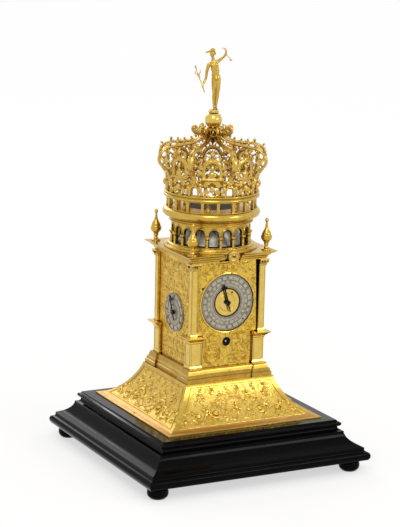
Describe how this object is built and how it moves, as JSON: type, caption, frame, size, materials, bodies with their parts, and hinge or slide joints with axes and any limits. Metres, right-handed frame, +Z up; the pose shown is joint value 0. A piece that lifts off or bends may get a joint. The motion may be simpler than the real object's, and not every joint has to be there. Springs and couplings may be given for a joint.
{
  "type": "astronomical automaton clock",
  "caption": "Gilt tower table clock on an ebonised stepped stand, with dials, bell arcade, turning procession gallery and openwork crown with a figure.",
  "frame": {"origin": "on the floor, under the middle of the wooden stand", "axes": "+X right along the front, +Y from the front to the back, +Z up; the front dial faces -Y"},
  "size_m": [0.2772, 0.2772, 0.4717],
  "materials": {
    "ebonised_wood": "polished",
    "gilt_brass": "fire gilt, chased",
    "silvered_brass": "silvered, engraved",
    "blued_steel": "blued",
    "bell_metal": "tinned, dull",
    "wrought_iron": "filed",
    "movement_brass": "satin"
  },
  "bodies": {
    "case": {"wooden_base": "ebonised_wood", "foot_front_left": "ebonised_wood", "foot_front_right": "ebonised_wood", "foot_rear_right": "ebonised_wood", "foot_rear_left": "ebonised_wood", "skirt": "gilt_brass", "tower_base": "gilt_brass", "corner_post_front_left": "gilt_brass", "corner_post_front_right": "gilt_brass", "corner_post_rear_right": "gilt_brass", "corner_post_rear_left": "gilt_brass", "finial_front_left": "gilt_brass", "finial_front_right": "gilt_brass", "finial_rear_right": "gilt_brass", "finial_rear_left": "gilt_brass", "left_panel": "gilt_brass", "right_panel": "gilt_brass", "front_dial_ring": "silvered_brass", "dial_plate": "movement_brass", "left_dial": "silvered_brass", "right_dial": "silvered_brass", "top_cornice": "gilt_brass", "drum_foot_ring": "gilt_brass", "arcade": "gilt_brass", "bell": "bell_metal", "bell_post": "wrought_iron", "hammer_cheeks": "wrought_iron", "gallery_cornice": "gilt_brass", "balustrade": "gilt_brass", "crown_band": "gilt_brass", "crown_arches": "gilt_brass", "crown_knob": "gilt_brass", "ball": "gilt_brass", "top_figure": "gilt_brass", "pillar_plate": "wrought_iron", "top_plate": "wrought_iron", "front_bar": "wrought_iron", "middle_bar": "wrought_iron", "rear_bar": "wrought_iron", "balance_cock": "movement_brass"},
    "door_left": {"front_door_left": "gilt_brass"},
    "door_right": {"front_door_right": "gilt_brass"},
    "catch": {"front_catch": "gilt_brass"},
    "door_rear": {"rear_door": "gilt_brass"},
    "hour_hand": {"front_hand": "blued_steel", "hour_wheel": "movement_brass"},
    "alarm": {"alarm_disc": "gilt_brass"},
    "hand_left": {"left_hand": "blued_steel"},
    "hand_right": {"right_hand": "blued_steel"},
    "hammer": {"bell_hammer": "wrought_iron"},
    "procession": {"carousel": "gilt_brass"},
    "going_barrel": {"going_wheel": "movement_brass"},
    "second_arbor": {"second_wheel": "movement_brass"},
    "escape_arbor": {"escape_wheel": "movement_brass"},
    "balance_staff": {"balance": "wrought_iron"},
    "strike_barrel": {"strike_wheel": "movement_brass"},
    "fly_arbor": {"fly": "movement_brass"}
  },
  "joints": [
    {"name": "going_turn", "type": "hinge", "parent": "case", "child": "going_barrel", "pos_m": [0, -0.02, 0.1442], "axis": [0, 1, 0], "continuous": true},
    {"name": "hour_hand_turn", "type": "hinge", "parent": "case", "child": "hour_hand", "pos_m": [0, -0.04, 0.1893], "axis": [0, 1, 0], "continuous": true},
    {"name": "second_turn", "type": "hinge", "parent": "case", "child": "second_arbor", "pos_m": [0.0161, -0.015, 0.16808], "axis": [0, 1, 0], "continuous": true},
    {"name": "escape_turn", "type": "hinge", "parent": "case", "child": "escape_arbor", "pos_m": [0, -0.015, 0.17907], "axis": [0, 1, 0], "continuous": true},
    {"name": "balance_swing", "type": "hinge", "parent": "case", "child": "balance_staff", "pos_m": [0, -0.0244, 0.2], "axis": [0, 0, 1], "range_deg": [-25, 25]},
    {"name": "strike_turn", "type": "hinge", "parent": "case", "child": "strike_barrel", "pos_m": [0, 0.02, 0.1442], "axis": [0, 1, 0], "continuous": true},
    {"name": "fly_turn", "type": "hinge", "parent": "case", "child": "fly_arbor", "pos_m": [-0.0161, 0.015, 0.16808], "axis": [0, 1, 0], "continuous": true},
    {"name": "alarm_turn", "type": "hinge", "parent": "case", "child": "alarm", "pos_m": [0, -0.043, 0.1893], "axis": [0, 1, 0], "continuous": true},
    {"name": "left_hand_turn", "type": "hinge", "parent": "case", "child": "hand_left", "pos_m": [-0.0464, 0, 0.1725], "axis": [1, 0, 0], "continuous": true},
    {"name": "right_hand_turn", "type": "hinge", "parent": "case", "child": "hand_right", "pos_m": [0.0464, 0, 0.1725], "axis": [1, 0, 0], "continuous": true},
    {"name": "front_door_left_swing", "type": "hinge", "parent": "case", "child": "door_left", "pos_m": [-0.0299, -0.04305, 0.1765], "axis": [0, 0, -1], "range_deg": [0, 72]},
    {"name": "front_door_right_swing", "type": "hinge", "parent": "case", "child": "door_right", "pos_m": [0.0299, -0.04305, 0.1765], "axis": [0, 0, 1], "range_deg": [0, 72]},
    {"name": "front_catch_turn", "type": "hinge", "parent": "door_right", "child": "catch", "pos_m": [0.001, -0.05, 0.2442], "axis": [0, 1, 0], "range_deg": [0, 90]},
    {"name": "rear_door_swing", "type": "hinge", "parent": "case", "child": "door_rear", "pos_m": [0.0299, 0.04305, 0.1765], "axis": [0, 0, -1], "range_deg": [0, 72]},
    {"name": "hammer_lift", "type": "hinge", "parent": "case", "child": "hammer", "pos_m": [0, 0.02, 0.2506], "axis": [1, 0, 0], "range_deg": [-2, 14], "stiffness_Nm_per_rad": 0.05},
    {"name": "procession_turn", "type": "hinge", "parent": "case", "child": "procession", "pos_m": [0, 0, 0.29], "axis": [0, 0, 1], "continuous": true}
  ],
  "couplings": [
    {"joint": "hour_hand_turn", "follows": "going_turn", "ratio": -0.5},
    {"joint": "second_turn", "follows": "going_turn", "ratio": -5},
    {"joint": "escape_turn", "follows": "going_turn", "ratio": 20},
    {"joint": "fly_turn", "follows": "strike_turn", "ratio": -5}
  ]
}
